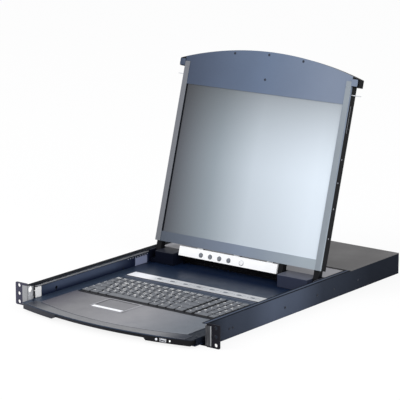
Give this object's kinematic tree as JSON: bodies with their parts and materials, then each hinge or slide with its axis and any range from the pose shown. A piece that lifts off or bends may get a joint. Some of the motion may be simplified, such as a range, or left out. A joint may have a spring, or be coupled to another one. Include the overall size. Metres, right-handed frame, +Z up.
{
  "type": "rackmount lcd console drawer",
  "caption": "Low rack drawer on ball-bearing slides, with a keyboard, a touchpad and a flat display that folds up.",
  "frame": {"origin": "middle of the rack ear hole pattern, on the front face of the ears", "axes": "+X to the right, +Y back into the rack, +Z up; the ears bolt to the rack along -Y"},
  "size_m": [0.4826, 0.691, 0.4439],
  "materials": {
    "chassis_paint": "satin powder coat, near black with a blue cast",
    "ear_paint": "satin black",
    "zinc": "bright zinc plate",
    "rear_paint": "satin warm grey",
    "frame_paint": "satin slate blue",
    "strip_grey": "satin grey",
    "back_black": "satin black",
    "screen": "glossy screen surface, unlit",
    "module_metal": "plain sheet",
    "bar_white": "white satin moulding",
    "button_grey": "grey moulding",
    "button_white": "white moulding",
    "palm_grey": "satin grey",
    "deck_navy": "satin navy",
    "grip_dark": "fine grained dark moulding",
    "key_dark": "fine grained dark keys",
    "port_silver": "pale silver film",
    "hinge_black": "black steel",
    "connector": "black moulding",
    "board": "green circuit board",
    "screw_steel": "blackened steel",
    "lamp": "clear lens"
  },
  "bodies": {
    "chassis": {"chassis_pan": "chassis_paint", "rear_top_cover": "rear_paint", "rear_panel": "chassis_paint", "rack_ear_right": "ear_paint", "rack_ear_left": "ear_paint", "slide_brackets": "zinc", "slide_outer_members": "zinc", "chassis_screws": "screw_steel", "power_inlet": "connector", "console_ports": "zinc", "power_supply": "module_metal", "switch_board": "board"},
    "power_switch": {"power_switch": "connector"},
    "slide_middle": {"slide_middle_members": "zinc"},
    "outer_cages": {"outer_ball_cages": "zinc"},
    "inner_cages": {"inner_ball_cages": "zinc"},
    "drawer": {"drawer_tray": "deck_navy", "keyboard_deck": "deck_navy", "palm_rest": "palm_grey", "front_trim": "palm_grey", "front_grip": "grip_dark", "usb_port": "zinc", "status_light": "lamp", "touchpad": "palm_grey", "port_strip": "port_silver", "drawer_boards": "board", "hinge_box_left": "back_black", "hinge_box_right": "back_black", "rear_deck": "rear_paint", "deck_screws": "screw_steel", "slide_inner_members": "zinc"},
    "display": {"lcd_front_frame": "frame_paint", "side_strips": "strip_grey", "lcd_rear_cover": "back_black", "lcd_glass": "screen", "lcd_module": "module_metal", "handle_screws": "screw_steel", "control_bar": "bar_white", "hinge_leaves": "hinge_black", "catch_housings": "back_black"},
    "reset_button": {"reset_button": "button_grey"},
    "port_buttons": {"port_buttons": "button_grey"},
    "touchpad_button_left": {"touchpad_button_left": "port_silver"},
    "touchpad_button_right": {"touchpad_button_right": "port_silver"},
    "function_keys": {"function_keys": "key_dark"},
    "number_keys": {"number_keys": "key_dark"},
    "upper_letter_keys": {"upper_letter_keys": "key_dark"},
    "home_letter_keys": {"home_letter_keys": "key_dark"},
    "lower_letter_keys": {"lower_letter_keys": "key_dark"},
    "bottom_keys": {"bottom_keys": "key_dark"},
    "space_bar": {"space_bar": "key_dark"},
    "menu_button_1": {"menu_button_1": "button_grey"},
    "menu_button_2": {"menu_button_2": "button_grey"},
    "menu_button_3": {"menu_button_3": "button_grey"},
    "menu_button_4": {"menu_button_4": "button_grey"},
    "lcd_power_button": {"lcd_power_button": "button_white"},
    "release_catch_right": {"release_catch_right": "frame_paint"},
    "release_catch_left": {"release_catch_left": "frame_paint"},
    "latch_wire_right": {"latch_wire_right": "zinc"},
    "latch_wire_left": {"latch_wire_left": "zinc"}
  },
  "joints": [
    {"name": "drawer_slide", "type": "slide", "parent": "chassis", "child": "drawer", "axis": [0, -1, 0], "range_m": [0, 0.41]},
    {"name": "slide_middle_slide", "type": "slide", "parent": "chassis", "child": "slide_middle", "axis": [0, -1, 0], "range_m": [0, 0.205]},
    {"name": "outer_cages_slide", "type": "slide", "parent": "chassis", "child": "outer_cages", "axis": [0, -1, 0], "range_m": [0, 0.1025]},
    {"name": "inner_cages_slide", "type": "slide", "parent": "chassis", "child": "inner_cages", "axis": [0, -1, 0], "range_m": [0, 0.3075]},
    {"name": "display_hinge", "type": "hinge", "parent": "drawer", "child": "display", "pos_m": [0, 0.3719, 0.0092], "axis": [1, 0, 0], "range_deg": [-15, 105.9]},
    {"name": "power_switch_rock", "type": "hinge", "parent": "chassis", "child": "power_switch", "pos_m": [-0.138, 0.63, -0.0008], "axis": [-1, 0, 0], "range_deg": [0, 16]},
    {"name": "reset_button_press", "type": "slide", "parent": "drawer", "child": "reset_button", "axis": [0, 1, 0], "range_m": [0, 0.0008], "stiffness_N_per_m": 400, "springref_m": -0.0008},
    {"name": "port_buttons_press", "type": "slide", "parent": "drawer", "child": "port_buttons", "axis": [0, 0, -1], "range_m": [0, 0.0004], "stiffness_N_per_m": 500, "springref_m": -0.001},
    {"name": "touchpad_button_left_press", "type": "slide", "parent": "drawer", "child": "touchpad_button_left", "axis": [0, 0, -1], "range_m": [0, 0.0008], "stiffness_N_per_m": 400, "springref_m": -0.001},
    {"name": "touchpad_button_right_press", "type": "slide", "parent": "drawer", "child": "touchpad_button_right", "axis": [0, 0, -1], "range_m": [0, 0.0008], "stiffness_N_per_m": 400, "springref_m": -0.001},
    {"name": "function_keys_press", "type": "slide", "parent": "drawer", "child": "function_keys", "axis": [0, 0, -1], "range_m": [0, 0.0022], "stiffness_N_per_m": 600, "springref_m": -0.002},
    {"name": "number_keys_press", "type": "slide", "parent": "drawer", "child": "number_keys", "axis": [0, 0, -1], "range_m": [0, 0.0022], "stiffness_N_per_m": 600, "springref_m": -0.002},
    {"name": "upper_letter_keys_press", "type": "slide", "parent": "drawer", "child": "upper_letter_keys", "axis": [0, 0, -1], "range_m": [0, 0.0022], "stiffness_N_per_m": 600, "springref_m": -0.002},
    {"name": "home_letter_keys_press", "type": "slide", "parent": "drawer", "child": "home_letter_keys", "axis": [0, 0, -1], "range_m": [0, 0.0022], "stiffness_N_per_m": 600, "springref_m": -0.002},
    {"name": "lower_letter_keys_press", "type": "slide", "parent": "drawer", "child": "lower_letter_keys", "axis": [0, 0, -1], "range_m": [0, 0.0022], "stiffness_N_per_m": 600, "springref_m": -0.002},
    {"name": "bottom_keys_press", "type": "slide", "parent": "drawer", "child": "bottom_keys", "axis": [0, 0, -1], "range_m": [0, 0.0022], "stiffness_N_per_m": 600, "springref_m": -0.002},
    {"name": "space_bar_press", "type": "slide", "parent": "drawer", "child": "space_bar", "axis": [0, 0, -1], "range_m": [0, 0.0022], "stiffness_N_per_m": 600, "springref_m": -0.002},
    {"name": "menu_button_1_press", "type": "slide", "parent": "display", "child": "menu_button_1", "axis": [0, 0.9616, -0.2743], "range_m": [0, 0.0008], "stiffness_N_per_m": 400, "springref_m": -0.001},
    {"name": "menu_button_2_press", "type": "slide", "parent": "display", "child": "menu_button_2", "axis": [0, 0.9616, -0.2743], "range_m": [0, 0.0008], "stiffness_N_per_m": 400, "springref_m": -0.001},
    {"name": "menu_button_3_press", "type": "slide", "parent": "display", "child": "menu_button_3", "axis": [0, 0.9616, -0.2743], "range_m": [0, 0.0008], "stiffness_N_per_m": 400, "springref_m": -0.001},
    {"name": "menu_button_4_press", "type": "slide", "parent": "display", "child": "menu_button_4", "axis": [0, 0.9616, -0.2743], "range_m": [0, 0.0008], "stiffness_N_per_m": 400, "springref_m": -0.001},
    {"name": "lcd_power_button_press", "type": "slide", "parent": "display", "child": "lcd_power_button", "axis": [0, 0.9616, -0.2743], "range_m": [0, 0.0008], "stiffness_N_per_m": 400, "springref_m": -0.001},
    {"name": "release_catch_right_press", "type": "slide", "parent": "display", "child": "release_catch_right", "axis": [0, 0.9616, -0.2743], "range_m": [0, 0.0028], "stiffness_N_per_m": 600, "springref_m": -0.0015},
    {"name": "latch_wire_right_slide", "type": "slide", "parent": "display", "child": "latch_wire_right", "axis": [-1, 0, 0], "range_m": [0, 0.011]},
    {"name": "release_catch_left_press", "type": "slide", "parent": "display", "child": "release_catch_left", "axis": [0, 0.9616, -0.2743], "range_m": [0, 0.0028], "stiffness_N_per_m": 600, "springref_m": -0.0015},
    {"name": "latch_wire_left_slide", "type": "slide", "parent": "display", "child": "latch_wire_left", "axis": [1, 0, 0], "range_m": [0, 0.011]}
  ],
  "couplings": [
    {"joint": "slide_middle_slide", "follows": "drawer_slide", "ratio": 0.5},
    {"joint": "outer_cages_slide", "follows": "drawer_slide", "ratio": 0.25},
    {"joint": "inner_cages_slide", "follows": "drawer_slide", "ratio": 0.75},
    {"joint": "latch_wire_right_slide", "follows": "release_catch_right_press", "ratio": 3.9},
    {"joint": "latch_wire_left_slide", "follows": "release_catch_left_press", "ratio": 3.9}
  ]
}
